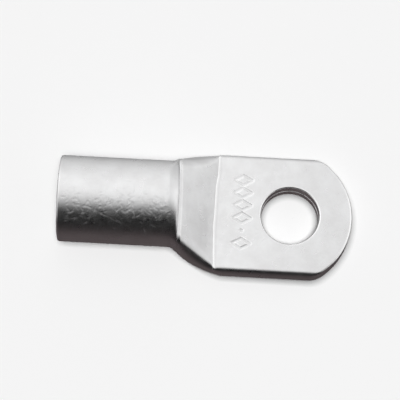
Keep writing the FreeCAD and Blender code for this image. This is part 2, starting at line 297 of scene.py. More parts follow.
def facet_rows():
    """The land, its rounding, the facet, the bend and the start of the palm."""
    rows = []
    fall = math.atan2(RIDGE_HEIGHT - PALM_TOP, BEND_X - RIDGE_X)
    reach = RIDGE_ROUND * math.tan(fall / 2)
    for turn in np.linspace(0, fall, 7):
        x = RIDGE_X - reach + RIDGE_ROUND * math.sin(turn)
        rows.append(with_x(pressed_slice(x, RIDGE_HEIGHT - RIDGE_ROUND * (1 - math.cos(turn))), x))
    start = RIDGE_X - reach + RIDGE_ROUND * math.sin(fall)
    for x in np.linspace(start, BEAD_START, 36)[1:]:
        rows.append(with_x(pressed_slice(x, facet_height(x)), x))
    for x, lift in BEAD_ROWS:
        height = max(PALM_TOP, facet_height(x)) + lift * BEAD_HEIGHT
        rows.append(with_x(pressed_slice(x, height), x))
    for x in np.linspace(BEAD_END, PALM_X, 7)[1:]:
        rows.append(with_x(pressed_slice(x, PALM_TOP), x))
    for row in rows:
        x, across = row[0, 0], row[:, 1]
        row[:, 0] += smooth_through(BEND_WAVE, across) * np.interp(x, (-15, -11.5, BEAD_END, PALM_X), (0, 1, 1, 0))
        row[:, 0] += smooth_through(RIDGE_WAVE, across) * np.interp(x, (RIDGE_X, -13), (1, 0))
    return rows


outer_rows = barrel_rows + neck_rows(steps[0]) + steps + facet_rows()
print("rows of the outer skin:", len(outer_rows))


# %% [markdown]
# ## The mouth and the bore
#
# The tube was sawn off, so its mouth is a flat ring with slightly broken edges. Inside, the bore stays
# round as far as the crimp needs. Behind the step it closes, as the pressed tube does, into the line
# between the palm's two layers. The rows keep the barrel's own columns, so they join it point by point.

# %% Rows of the mouth
def ring(x, radius):
    """A round row with the barrel's own columns."""
    outer = round_slice(NECK_X)
    centre = np.array([0.0, AXIS_HEIGHT])
    return with_x(centre + (outer - centre) * radius / TUBE_RADIUS, x)


mouth_rows = []
for turn in np.linspace(0, math.pi / 2, 5)[:-1]:
    inset = MOUTH_BREAK * (1 - math.cos(turn))
    mouth_rows.append(ring(MOUTH_X + MOUTH_BREAK * (1 - math.sin(turn)), TUBE_RADIUS - inset))
mouth_rows.append(ring(MOUTH_X, TUBE_RADIUS - MOUTH_BREAK))
for radius in np.linspace(TUBE_RADIUS - MOUTH_BREAK, BORE_RADIUS + 0.35, 5)[1:]:
    mouth_rows.append(ring(MOUTH_X, radius))
for x, radius in ((MOUTH_X + 0.1, BORE_RADIUS + 0.12), (MOUTH_X + 0.3, BORE_RADIUS)):
    mouth_rows.append(ring(x, radius))
print("rows of the mouth:", len(mouth_rows))

# %% Rows of the bore
BORE_END_X = -17.6
BORE_TOP = [(BORE_END_X, 10.4), (STEP_X, 6.5), (BEND_X, WALL + 0.03)]
BORE_FLOOR = [(BORE_END_X, 0.8), (STEP_X, 1.0), (BEND_X, WALL - 0.03)]
BORE_REACH = [(BORE_END_X, 4.8), (STEP_X, 5.6), (BEND_X, 7.1)]


def closing_rows():
    """The bore's rows from its round end to the slit between the layers."""
    rows = []
    start = ring(BORE_END_X, BORE_RADIUS)
    y = start[:, 1] / BORE_RADIUS
    z = (start[:, 2] - AXIS_HEIGHT) / BORE_RADIUS
    for x in np.linspace(BORE_END_X, BEND_X, 14)[1:]:
        high, low, reach = (smooth_through(stations, x) for stations in (BORE_TOP, BORE_FLOOR, BORE_REACH))
        rows.append(np.column_stack([np.full(len(y), x), y * reach, (high + low) / 2 + z * (high - low) / 2]))
    return rows


bore_rows = [ring(x, BORE_RADIUS) for x in np.linspace(MOUTH_X + 0.3, BORE_END_X, 14)[1:]] + closing_rows()
print("rows inside:", len(bore_rows))


# %% [markdown]
# ## The palm
#
# The palm's two broad faces are nets of rays: each ray starts on the palm's outline and runs to the
# centre of the stud hole, so the hole gets an exactly round, evenly divided rim. The rays turn over
# the rim and go down the hole's wall. The long edges are folds, nearly half round, because here the
# tube's own side was pressed flat, and the punched end cuts straight through both layers. A boolean
# cut would be quicker to write, but it leaves long thin faces round the hole, which shade badly.

# %% The punched end and the folds
FOLD_ROWS = 60
PUNCH_ROUND = 0.34
RIM_TURNS = np.linspace(0, math.pi / 2, 5)


def end_x(y, inset=0.0):
    """X of the punched end at a distance y from the middle."""
    return END_CENTRE_X + np.sqrt((END_RADIUS - inset) ** 2 - np.asarray(y, float) ** 2)


def fold_section(inset):
    """The fold from the palm's upper face round to the lower one, on the +Y side, set in by an amount."""
    section = side_of_slice(PALM_X, np.array([PALM_FLAT, PALM_TOP]), (PALM_CORNER, PALM_TOP))
    along = np.gradient(section, axis=0)
    along[0], along[-1] = (1, 0), (-1, 0)
    inward = np.stack([along[:, 1], -along[:, 0]], 1) / np.linalg.norm(along, axis=1)[:, None]
    section = section + inset * inward
    return section[:, 0], section[:, 1]


def fold_net(side):
    """Rows along X of one long edge, ending over the rounded rim of the punched end."""
    y, z = fold_section(0.0)
    limit = end_x(y, PUNCH_ROUND)
    shares = np.linspace(0, 1, FOLD_ROWS + 1)
    rows = [np.column_stack([PALM_X + (limit - PALM_X) * share, side * y, z]) for share in shares]
    for turn in RIM_TURNS[1:]:
        y, z = fold_section(PUNCH_ROUND * (1 - math.cos(turn)))
        rows.append(np.column_stack([end_x(y, PUNCH_ROUND * (1 - math.sin(turn))), side * y, z]))
    return rows


print("the punched end crosses the folds at X %.2f mm" % end_x(HALF_PALM))

# %% The broad faces, as rays to the stud hole
END_POINTS = 96
HOLE_ROUND = 0.24
UNDER_ROUND = 0.08
UPPER_STEPS = 50
UNDER_STEPS = 14


def outline():
    """The broad face's outline: across at the bend, along -Y, round the end and back along +Y."""
    limit = float(end_x(PALM_FLAT, PUNCH_ROUND))
    along = np.linspace(PALM_X, limit, FOLD_ROWS + 1)
    across = np.linspace(PALM_FLAT, -PALM_FLAT, TOP_POINTS + 1)
    round_y = np.linspace(-PALM_FLAT, PALM_FLAT, END_POINTS + 1)
    flat = np.full(len(along), PALM_FLAT)
    start = np.column_stack([np.full(len(across), PALM_X), across])[:-1]
    right = np.column_stack([along, -flat])[:-1]
    end = np.column_stack([end_x(round_y, PUNCH_ROUND), round_y])[:-1]
    left = np.column_stack([along[::-1], flat])[:-1]
    return np.concatenate([start, right, end, left])


def face_net(height, up, divisions, hole_round):
    """The rows of a broad face, from its outline to the stud hole's rim and over it."""
    edge = outline()
    reach = np.hypot(edge[:, 0], edge[:, 1])
    aim = edge / reach[:, None]
    rows = []
    for share in np.linspace(0, 1, divisions + 1):
        radius = reach + (HOLE_RADIUS + hole_round - reach) * share
        rows.append(np.column_stack([aim * radius[:, None], np.full(len(edge), height)]))
    for turn in RIM_TURNS[1:]:
        radius = HOLE_RADIUS + hole_round * (1 - math.sin(turn))
        drop = hole_round * (1 - math.cos(turn))
        rows.append(np.column_stack([aim * radius, np.full(len(edge), height - up * drop)]))
    return rows


upper_face = face_net(PALM_TOP, 1, UPPER_STEPS, HOLE_ROUND)
lower_face = face_net(0.0, -1, UNDER_STEPS, UNDER_ROUND)
print("rays of a broad face:", len(upper_face[0]))

# %% The stud hole's wall, with the seam between the layers
SEAM_DEPTH = 0.05
SEAM_HALF = 0.09
LEDGE = 0.085
LEDGE_LEVEL = WALL - 0.6


def hole_wall(top_row, bottom_row):
    """Rows down the hole's wall: the upper layer, the seam, and the lower layer with its narrow ledge."""
    high, low = top_row[0, 2], bottom_row[0, 2]
    levels = [(level, 0.0) for level in np.linspace(high, WALL + SEAM_HALF, 7)[1:]]
    levels += [(WALL, SEAM_DEPTH), (WALL - SEAM_HALF, SEAM_DEPTH), (WALL - 2.2 * SEAM_HALF, -LEDGE / 2)]
    levels += [(WALL - 4 * SEAM_HALF, -LEDGE), (LEDGE_LEVEL, -LEDGE)]
    levels += [(level, -LEDGE * (level - low) / (WALL - low)) for level in np.linspace(LEDGE_LEVEL, low, 6)[1:-1]]
    rows = []
    for level, out in levels:
        row = top_row.copy()
        row[:, :2] *= 1 + out / HOLE_RADIUS
        row[:, 2] = level
        rows.append(row)
    return rows


wall_rows = hole_wall(upper_face[-1], lower_face[-1])
print("rows down the hole's wall:", len(wall_rows))


# %% [markdown]
# ## Joining the nets into one closed mesh
#
# Each net is a stack of rows, and each row may be closed round like a ring. All nets go into one list
# of points and faces. Points that lie on each other are then merged, which also closes the nets
# against each other, and faces that have lost their area are taken out. The count of open edges says
# whether the lug is closed: it has to be none.

# %% A net of points and faces
class Net:
    """Points and faces of the lug, collected from stacks of rows."""

    def __init__(self):
        self.points, self.faces, self.count = [], [], 0

    def add(self, rows, closed=True):
        width = len(rows[0])
        base = self.count
        for row in rows:
            self.points.append(np.asarray(row, float))
        self.count += width * len(rows)
        for r in range(len(rows) - 1):
            here, ahead = base + r * width, base + (r + 1) * width
            for c in range(width if closed else width - 1):
                d = (c + 1) % width
                self.faces.append([here + c, here + d, ahead + d, ahead + c])


sample = Net()
sample.add(np.zeros((2, 4, 3)))
print("two closed rows of four points make", len(sample.faces), "faces")

# %% The rims and the wall of the punched end
SEAM_FADE = 0.8
TAB_POINTS = 6


def end_rim_rows(up):
    """The rounded rim of the punched end, between a broad face and the end wall."""
    y = np.linspace(-PALM_FLAT, PALM_FLAT, END_POINTS + 1)
    rows = []
    for turn in RIM_TURNS:
        drop = PUNCH_ROUND * (1 - math.cos(turn))
        z = np.full(len(y), PALM_TOP - drop if up else drop)
        rows.append(np.column_stack([end_x(y, PUNCH_ROUND * (1 - math.sin(turn))), y, z]))
    return rows


def end_wall_rows():
    """The punched end between its two rims: the middle, and a tab in each fold."""
    across = np.linspace(-PALM_FLAT, PALM_FLAT, END_POINTS + 1)
    rows = []
    for y_edge, z in zip(*fold_section(PUNCH_ROUND)):
        tab = np.linspace(PALM_FLAT, y_edge, TAB_POINTS)[1:]
        y = np.concatenate([-tab[::-1], across, tab])
        seam = SEAM_DEPTH if abs(z - WALL) < 1e-6 else 0.0
        depth = seam * np.clip((PALM_FLAT - np.abs(y)) / SEAM_FADE, 0, 1)
        rows.append(np.column_stack([end_x(y) - depth, y, np.full(len(y), z)]))
    return rows


print("rows of the end wall:", len(end_wall_rows()))

# %% Collect the nets
net = Net()
net.add(bore_rows[::-1] + mouth_rows[::-1] + outer_rows[1:])
net.faces.append(list(range(len(bore_rows[0]))))  # closes the far end of the bore
for side in (1, -1):
    net.add(fold_net(side), closed=False)
net.add(upper_face)
net.add([upper_face[-1]] + wall_rows + [lower_face[-1]])
net.add(lower_face)
for up in (True, False):
    net.add(end_rim_rows(up), closed=False)
net.add(end_wall_rows(), closed=False)
points = np.concatenate(net.points) * MM
print("points before merging:", len(points))

# %% Merge the nets and close the lug
mesh = bpy.data.meshes.new("cable_lug_skin")
mesh.from_pydata(points.tolist(), [], net.faces)
shell = bmesh.new()
shell.from_mesh(mesh)
bmesh.ops.remove_doubles(shell, verts=shell.verts, dist=0.002 * MM)
bmesh.ops.dissolve_degenerate(shell, edges=shell.edges, dist=0.001 * MM)
bmesh.ops.recalc_face_normals(shell, faces=shell.faces)
if shell.calc_volume(signed=True) < 0:
    bmesh.ops.reverse_faces(shell, faces=shell.faces)
open_edges = [edge for edge in shell.edges if not edge.is_manifold]
volume = shell.calc_volume() / MM ** 3
shell.to_mesh(mesh)
shell.free()
lug = bpy.data.objects.new("lug_body", mesh)
bpy.context.scene.collection.objects.link(lug)
print("open edges: %d, volume: %.0f mm3" % (len(open_edges), volume))


# %% [markdown]
# ## Trees of nodes
#
# The struck marks, the plating and the light are all built from nodes. A node needs its settings, and
# each of its inputs is either linked to another node or typed in. A few small helpers do both, so the
# trees below read like sums. Their inputs are named wherever Blender's own names are unique.

# %% Helpers for building a tree of nodes
def add(tree, kind, inputs, **settings):
    """A new node. An input is linked where it is given a socket, and typed in where it isn't."""
    node = tree.nodes.new(kind)
    for name, value in settings.items():
        setattr(node, name, value)
    for name, value in inputs.items():
        if isinstance(value, bpy.types.NodeSocket):
            tree.links.new(value, node.inputs[name])
        else:
            node.inputs[name].default_value = value
    return node


def worked_out(tree, operation, a, b):
    """What a sum, such as ADD or COMPARE, makes of two numbers."""
    return add(tree, "ShaderNodeMath", {0: a, 1: b}, operation=operation).outputs[0]


def mapped(tree, value, low, high, start, end, kind="LINEAR"):
    """A value that runs from start to end, stretched to run from low to high."""
    inputs = {"Value": value, "From Min": start, "From Max": end, "To Min": low, "To Max": high}
    return add(tree, "ShaderNodeMapRange", inputs, interpolation_type=kind).outputs[0]


def mixed(tree, kind, factor, a, b, way="MIX"):
    """A blend of two numbers (FLOAT) or of two colours (RGBA)."""
    first, result = (6, 2) if kind == "RGBA" else (2, 0)
    inputs = {"Factor": factor, first: a, first + 1: b}
    return add(tree, "ShaderNodeMix", inputs, data_type=kind, blend_type=way).outputs[result]


print("helpers for nodes:", ", ".join(helper.__name__ for helper in (add, worked_out, mapped, mixed)))


# %% [markdown]
# ## Struck marks
#
# A lug may carry marks that are struck into the palm with small punches. Here they are plain and say
# nothing: four long diamonds in a row, a dot, and one more diamond. They repeat by a rule, so Geometry
# Nodes set them out: points on a line, a punch's outline on each point, and then every point of the
# palm sinks where it lies close to an outline. A bump in the material would be quicker, but it changes
# only the shading, and a model that is exported would lose the dents. So they are real geometry, and
# their number, pitch, size and depth are inputs of the tree.

# %% Named inputs of the striking tree
STRIKE_INPUTS = {
    "Geometry": "NodeSocketGeometry", "Count": "NodeSocketInt", "First": "NodeSocketVector",
    "Pitch": "NodeSocketFloat", "Length": "NodeSocketFloat", "Width": "NodeSocketFloat",
    "Stroke": "NodeSocketFloat", "Depth": "NodeSocketFloat", "Floor": "NodeSocketFloat",
    "Material": "NodeSocketMaterial",
}
strike_tree = bpy.data.node_groups.new("strike_marks", "GeometryNodeTree")
keys = {}
for name, kind in STRIKE_INPUTS.items():
    keys[name] = strike_tree.interface.new_socket(name, in_out="INPUT", socket_type=kind).identifier
strike_tree.interface.new_socket("Geometry", in_out="OUTPUT", socket_type="NodeSocketGeometry")
print("inputs of the tree:", ", ".join(keys))

# %% Set the punches' outlines out along a line
def punch_outlines(tree, given):
    """Diamonds on a line of points, with a dot at the last point but one."""
    pitch = add(tree, "ShaderNodeCombineXYZ", {"Y": given["Pitch"]}).outputs[0]
    inputs = {"Count": given["Count"], "Start Location": given["First"], "Offset": pitch}
    line = add(tree, "GeometryNodeMeshLine", inputs, mode="OFFSET").outputs["Mesh"]
    diamond = add(tree, "GeometryNodeMeshCircle", {"Vertices": 4, "Radius": 0.5}).outputs["Mesh"]
    dot = add(tree, "GeometryNodeMeshCircle", {"Vertices": 12, "Radius": 0.06}).outputs["Mesh"]
    kinds = add(tree, "GeometryNodeGeometryToInstance", {})
    for shape in (dot, diamond):  # the one that is linked last comes first
        tree.links.new(shape, kinds.inputs[0])
    index = add(tree, "GeometryNodeInputIndex", {}).outputs[0]
    from_end = worked_out(tree, "SUBTRACT", given["Count"], index)
    size = add(tree, "ShaderNodeCombineXYZ", {"X": given["Length"], "Y": given["Width"], "Z": 1.0}).outputs[0]
    placed = add(tree, "GeometryNodeInstanceOnPoints", {
        "Points": line, "Instance": kinds.outputs[0], "Pick Instance": True,
        "Instance Index": worked_out(tree, "COMPARE", from_end, 2.0), "Scale": size,
    })
    return add(tree, "GeometryNodeRealizeInstances", {0: placed.outputs[0]}).outputs[0]


given = strike_tree.nodes.new("NodeGroupInput").outputs
punches = punch_outlines(strike_tree, given)
print("nodes that set out the punches:", len(strike_tree.nodes))

# %% Sink the palm's upper face close to an outline
def sink_near(tree, given, punches):
    """Points of the upper face go down by the depth on an outline, and less beside it."""
    near = add(tree, "GeometryNodeProximity", {0: punches}, target_element="EDGES").outputs["Distance"]
    inner = worked_out(tree, "MULTIPLY", given["Stroke"], 0.2)
    outer = worked_out(tree, "MULTIPLY", given["Stroke"], 0.85)
    depth = mapped(tree, near, given["Depth"], 0.0, inner, outer, "SMOOTHSTEP")
    down = add(tree, "ShaderNodeCombineXYZ", {"Z": worked_out(tree, "MULTIPLY", depth, -1.0)}).outputs[0]
    position = add(tree, "GeometryNodeInputPosition", {}).outputs[0]
    height = add(tree, "ShaderNodeSeparateXYZ", {0: position}).outputs["Z"]
    on_face = worked_out(tree, "GREATER_THAN", height, given["Floor"])
    inputs = {"Geometry": given["Geometry"], "Selection": on_face, "Offset": down}
    return add(tree, "GeometryNodeSetPosition", inputs).outputs[0]


struck = sink_near(strike_tree, given, punches)
real = add(strike_tree, "GeometryNodeRealizeInstances", {0: struck}).outputs[0]
coated = add(strike_tree, "GeometryNodeSetMaterial", {"Geometry": real, "Material": given["Material"]}).outputs[0]
add(strike_tree, "NodeGroupOutput", {0: coated})
print("nodes of the whole tree:", len(strike_tree.nodes))


# %% [markdown]
# ## Tin plating
#
# Electroplated tin is a soft, satin metal: it reflects its surroundings, but blurred. Handling leaves
# it slightly mottled, and its surface has a faint grain and, in patches, a fine crackle. Edges that
# stick out are rubbed smoother, and their colour is painted nearly white, which is partly wear and
# partly a painted highlight; scratches are duller. The material is one metallic shader. Noise at
# several scales varies its colour, its roughness and a very shallow bump, and two values kept on the
# mesh mark the rubbed edges with their painted highlight, and the scratches. All patterns are laid out
# in Object coordinates, so they stay where they are on the metal.

# %% Mottled colour and satin gloss
TIN_DARK = (0.765, 0.762, 0.765, 1)
TIN_LIGHT = (0.83, 0.832, 0.836, 1)
# nearly white tin for rubbed edges: partly wear, partly a painted highlight
TIN_RUBBED_AND_HIGHLIGHT = (0.97, 0.97, 0.97, 1)
RUBBED_ROUGHNESS = 0.18
SCRATCH_ROUGHNESS = 0.5


def noise(tree, place, scale, detail):
    """A fine or coarse noise on the metal."""
    inputs = {"Scale": scale, "Detail": detail, "Roughness": 0.55, "Vector": place}
    return add(tree, "ShaderNodeTexNoise", inputs).outputs["Fac"]


def kept_on_mesh(tree, name):
    """A value that the mesh keeps for each of its points."""
    return add(tree, "ShaderNodeAttribute", {}, attribute_name=name).outputs["Fac"]


def tin_colour(tree, place):
    """Slightly mottled grey, and painted nearly white where an edge is rubbed, as a painted highlight."""
    mottle = add(tree, "ShaderNodeValToRGB", {"Fac": noise(tree, place, 420, 6)})
    for stop, part, colour in zip(mottle.color_ramp.elements, (0.35, 0.65), (TIN_DARK, TIN_LIGHT)):
        stop.position = part
        stop.color = colour
    # painted highlight: where the mesh marks a rubbed edge, the colour goes nearly white, so the edge shines
    return mixed(tree, "RGBA", kept_on_mesh(tree, "edge_wear_and_highlight"), mottle.outputs["Color"], TIN_RUBBED_AND_HIGHLIGHT)


def tin_roughness(tree, place):
    """Satin, smoother where an edge is rubbed, and dull in a scratch."""
    satin = mapped(tree, noise(tree, place, 900, 4), 0.26, 0.36, 0.3, 0.7)
    smoother = mixed(tree, "FLOAT", kept_on_mesh(tree, "edge_wear_and_highlight"), satin, RUBBED_ROUGHNESS)
    return mixed(tree, "FLOAT", kept_on_mesh(tree, "scratches"), smoother, SCRATCH_ROUGHNESS)


print("tin reflects %.0f to %.0f percent" % (100 * TIN_DARK[0], 100 * TIN_LIGHT[0]))

# %% Grain and crackle
GRAIN, UNEVENNESS, CRACKLE = (0.12, 0.02), (0.25, 0.05), (0.35, 0.012)


def crackle(tree, place):
    """Fine lines between swaying cells, in patches: 1 on the metal and 0 in a line."""
    wobble = add(tree, "ShaderNodeTexNoise", {"Scale": 1500, "Vector": place}).outputs["Color"]
    centred = add(tree, "ShaderNodeVectorMath", {0: place, 1: (-0.175 * MM,) * 3}).outputs[0]
    inputs = {0: wobble, 1: (0.35 * MM,) * 3, 2: centred}
    swayed = add(tree, "ShaderNodeVectorMath", inputs, operation="MULTIPLY_ADD").outputs[0]
    cells = add(tree, "ShaderNodeTexVoronoi", {"Scale": 1100, "Vector": swayed}, feature="DISTANCE_TO_EDGE")
    lines = mapped(tree, cells.outputs["Distance"], 0.0, 1.0, 0.0, 0.16)
    patches = mapped(tree, noise(tree, place, 260, 2), 0.0, 1.0, 0.42, 0.56)
    return mixed(tree, "FLOAT", patches, 1.0, lines)


def bump(tree, height, relief, below=None):
    """A shallow relief, given as its strength and its depth in millimetres, on top of the one below."""
    strength, depth = relief
    node = add(tree, "ShaderNodeBump", {"Strength": strength, "Distance": depth * MM, "Height": height})
    if below is not None:
        tree.links.new(below, node.inputs["Normal"])
    return node.outputs[0]


def tin_relief(tree, place):
    """A fine grain, a softer unevenness and the crackle."""
    grain = bump(tree, noise(tree, place, 3500, 3), GRAIN)
    uneven = bump(tree, noise(tree, place, 700, 4), UNEVENNESS, grain)
    return bump(tree, crackle(tree, place), CRACKLE, uneven)


print("reliefs as strength and depth in mm:", GRAIN, UNEVENNESS, CRACKLE)

# %% The plating's material
def new_material(name):
    """A material and its tree of nodes."""
    material = bpy.data.materials.new(name)
    material.use_nodes = True
    return material, material.node_tree


tin, tree = new_material("tin_plating")
shader = tree.nodes["Principled BSDF"]
shader.inputs["Metallic"].default_value = 1.0
place = tree.nodes.new("ShaderNodeTexCoord").outputs["Object"]
tree.links.new(tin_colour(tree, place), shader.inputs["Base Color"])
tree.links.new(tin_roughness(tree, place), shader.inputs["Roughness"])
tree.links.new(tin_relief(tree, place), shader.inputs["Normal"])
print("material:", tin.name, "with", len(tree.nodes), "nodes")


# %% [markdown]
# ## Striking the marks
#
# The tree becomes a modifier of the lug, which gets its sizes by each input's identifier. The result
# is turned into a plain mesh and the modifier is taken off again, because the export and the frame
# both want a mesh that is finished.

# %% Strike the marks and keep the result as a plain mesh
MARK_X = -6.9
strike = lug.modifiers.new("strike", "NODES")
strike.node_group = strike_tree
strike_sizes = {
    "Count": 6,
    "First": (MARK_X * MM, 5.0 * MM, PALM_TOP * MM),
    "Pitch": -1.9 * MM,
    "Length": 2.6 * MM,
    "Width": 1.5 * MM,
    "Stroke": 0.3 * MM,
    "Depth": 0.09 * MM,
    "Floor": (PALM_TOP - 0.005) * MM,
    "Material": tin,
}
for name, value in strike_sizes.items():
    strike[keys[name]] = value
bpy.context.view_layer.update()
finished = bpy.data.meshes.new_from_object(lug.evaluated_get(bpy.context.evaluated_depsgraph_get()))
lug.modifiers.remove(strike)
lug.data = finished
print("points after striking:", len(finished.vertices), "materials:", [m.name for m in finished.materials])


# %% [markdown]
# ## Scratches and nicks
#
# A lug travels loose in a bag with others, so its barrel is scuffed and its palm has a few nicks. Each
# is a short stroke on the surface, wider in its middle. Every point of the mesh close to a stroke
# sinks by a few hundredths of a millimetre, and how far it did is kept on the mesh, for the material.
# The longer strokes are listed one by one: both ends, as (X, tilt from upright) on the barrel and (X, Y) on
# the palm, and a width. The finest ones are drawn by chance, and crowd along one side. Their seed is
# fixed, so each run gives the same lug.

# %% Where the strokes lie
BARREL_SCRATCHES = [
    ((-27.7, -30), (-25.6, -39), 0.10), ((-25.6, -39), (-23.5, -49), 0.12), ((-31.7, -45), (-29.9, -44), 0.13),
    ((-31.5, -35), (-30.5, -33), 0.11), ((-20.8, -53), (-20.3, -65), 0.12), ((-23.5, -31), (-22.2, -26), 0.13),
    ((-19.7, -48), (-19.1, -50), 0.12), ((-24.2, -7), (-22.4, -21), 0.10), ((-27.2, 22), (-26.3, 14), 0.11),
    ((-23.6, 9), (-22.7, 11), 0.14), ((-27.2, -10), (-26.1, -3), 0.10), ((-24.9, -9), (-24.6, 0), 0.10),
    ((-19.4, -9), (-17.9, -14), 0.11), ((-29.3, -26), (-27.8, -28), 0.10), ((-19.9, -26), (-18.9, -38), 0.10),
    ((-18.9, -39), (-18.3, -31), 0.10), ((-25.7, -24), (-24.6, -15), 0.11), ((-22.0, -36), (-20.9, -31), 0.10),
]
PALM_NICKS = [
    ((-4.8, 5.0), (-4.2, 5.5), 0.08), ((-3.8, 6.6), (-3.1, 6.3), 0.07), ((-3.6, 5.5), (-3.2, 4.8), 0.08),
    ((-5.2, -1.9), (-4.6, -2.4), 0.09), ((-5.0, -3.0), (-4.5, -2.9), 0.08),
]
SCUFFS = 200
chance = np.random.default_rng(7)
scuffs = []
for _ in range(SCUFFS):
    x, tilt = chance.uniform(-32, -17), chance.normal(-24, 13)
    turn, reach = chance.uniform(0, math.pi), chance.uniform(0.3, 1.1)
    end = (min(x + reach * math.cos(turn), -17), tilt + 9.3 * reach * math.sin(turn))
    scuffs.append(((x, tilt), end, chance.uniform(0.06, 0.1)))
print("strokes:", len(BARREL_SCRATCHES), "scratches,", len(PALM_NICKS), "nicks and", len(scuffs), "scuffs")

# %% Sink the strokes into the surface
SCRATCH_DEPTH = 0.03


def on_barrel(x, tilt):
    """A place on the barrel's skin from its X and its tilt from upright."""
    turn = math.radians(tilt)
    return np.array([x, TUBE_RADIUS * math.sin(turn), AXIS_HEIGHT + TUBE_RADIUS * math.cos(turn)])


def read_points(mesh, kind):
    """The places or the normals of a mesh's points."""
    values = np.zeros(len(mesh.vertices) * 3)
    mesh.vertices.foreach_get(kind, values)
    return values.reshape(-1, 3)


def keep_on_mesh(mesh, name, values):
    """Keep one number for each point, where the material can read it."""
    kept = mesh.attributes.new(name, "FLOAT", "POINT")
    kept.data.foreach_set("value", values.astype(np.float32))


mesh = lug.data
place = read_points(mesh, "co") / MM
outward = read_points(mesh, "normal")
strokes = [(on_barrel(*start), on_barrel(*end), width) for start, end, width in BARREL_SCRATCHES + scuffs]
strokes += [(np.array([*start, PALM_TOP]), np.array([*end, PALM_TOP]), width) for start, end, width in PALM_NICKS]
swayed = place + 0.09 * np.sin(place[:, [1, 2, 0]] * 4.1 + np.array([0.4, 1.9, 3.1]))
scratched = np.zeros(len(place))
for start, end, width in strokes:
    part = np.clip((swayed - start) @ (end - start) / ((end - start) @ (end - start)), 0, 1)
    aside = np.linalg.norm(swayed - start - part[:, None] * (end - start), axis=1)
    u = np.clip(1 - aside / (1.6 * width), 0, 1)
    scratched = np.maximum(scratched, u * u * (3 - 2 * u) * (1 - 0.6 * np.abs(2 * part - 1) ** 3))
moved = (place - outward * (SCRATCH_DEPTH * scratched)[:, None]) * MM
mesh.vertices.foreach_set("co", moved.ravel())
mesh.update()
keep_on_mesh(mesh, "scratches", scratched)
print("scratched points:", int((scratched > 0.2).sum()))


# %% [markdown]
# ## Rubbed edges and their painted highlight
#
# Handling rubs the plating where an edge sticks out, and there the colour is also painted nearly
# white, a painted highlight that makes the edge shine. How far an edge sticks out can be measured: at
# such a point the mesh falls away from the point's own normal in every direction. The average fall is
# kept on the mesh, and the material turns smoother and paints a brighter highlight with it. Painting
# the edges by hand would have to be done again after every change of shape.

# %% Smooth shading, rubbed edges and their painted highlight
BARREL_SHARE = 0.4
WEAR_AND_HIGHLIGHT_START, WEAR_AND_HIGHLIGHT_RANGE = 0.035, 0.07
mesh.polygons.foreach_set("use_smooth", np.ones(len(mesh.polygons), bool))
mesh.set_sharp_from_angle(angle=math.radians(38))
place = read_points(mesh, "co")
outward = read_points(mesh, "normal")
ends = np.zeros(len(mesh.edges) * 2, int)
mesh.edges.foreach_get("vertices", ends)
ends = ends.reshape(-1, 2)
step = place[ends[:, 1]] - place[ends[:, 0]]
length = np.maximum(np.linalg.norm(step, axis=1), 1e-9)
fall_sum = np.zeros(len(place))
edge_count = np.zeros(len(place))
for start, sign in ((0, 1), (1, -1)):
    fall = -sign * np.einsum("ij,ij->i", step, outward[ends[:, start]]) / length
    np.add.at(fall_sum, ends[:, start], fall)
    np.add.at(edge_count, ends[:, start], 1)
convex = np.clip(fall_sum / np.maximum(edge_count, 1), 0, 1)
# behind the step the painted highlight on edges is weaker
convex[place[:, 0] < (STEP_X + 0.01) * MM] *= BARREL_SHARE  # the sawn mouth and the crown stay duller
# this mask marks rubbed tin and also paints its highlight in the material
keep_on_mesh(mesh, "edge_wear_and_highlight", np.clip((convex - WEAR_AND_HIGHLIGHT_START) / WEAR_AND_HIGHLIGHT_RANGE, 0, 1))
print("rubbed points:", int((convex > 0.1).sum()))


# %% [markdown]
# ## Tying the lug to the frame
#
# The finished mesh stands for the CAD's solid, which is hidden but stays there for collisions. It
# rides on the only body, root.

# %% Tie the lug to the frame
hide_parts("cable_lug")
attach(lug, "root")
print("the lug stands for the node cable_lug, and rides on root")


# %% [markdown]
# ## The floor
#
# The lug lies on its barrel's lower end and on the tip of its palm, so the floor is tilted by about
# one degree in the lug's own frame. It is matt white paper. Its colour is darkened softly within about
# a millimetre of the metal by an ambient occlusion node: a painted contact shadow, where little light
# gets under an edge. Reflections don't see it, because the light tent below gives the metal all that it
# reflects.

# %% The floor under the lug
REST = (NECK_X, AXIS_HEIGHT - TUBE_RADIUS), (END_CENTRE_X + END_RADIUS - PUNCH_ROUND, 0.0)
FLOOR_GAP = 0.01
FLOOR_REACH = 4000
WHITE = (0.92, 0.92, 0.92, 1)
slope = math.atan2(REST[1][1] - REST[0][1], REST[1][0] - REST[0][0])
paper, tree = new_material("white_paper")
shader = tree.nodes["Principled BSDF"]
shader.inputs["Roughness"].default_value = 1.0
shader.inputs["Specular IOR Level"].default_value = 0.0
# painted contact shadow: the paper's colour darkens within 1.1 mm of the metal
painted_contact_shadow = add(tree, "ShaderNodeAmbientOcclusion", {"Color": WHITE, "Distance": 1.1 * MM}, samples=12)
tree.links.new(painted_contact_shadow.outputs["Color"], shader.inputs["Base Color"])


def show(name, corners, faces, materials):
    """A backdrop or floor from corners in millimetres, which isn't part of the lug."""
    made = bpy.data.meshes.new(name)
    made.from_pydata([Vector(corner) * MM for corner in corners], [], faces)
    for material in materials:
        made.materials.append(material)
    item = bpy.data.objects.new(name, made)
    bpy.context.scene.collection.objects.link(item)
    return item


def floor_point(x, y):
    """A point on the tilted floor, just under the lug."""
    return x, y, REST[0][1] + (x - REST[0][0]) * math.tan(slope) - FLOOR_GAP


sides = ((-1, -1), (1, -1), (1, 1), (-1, 1))
floor = show("floor", [floor_point(x * FLOOR_REACH, y * FLOOR_REACH) for x, y in sides], [(0, 1, 2, 3)], [paper])
floor.visible_glossy = False
print("floor tilt %.2f degrees" % math.degrees(slope))


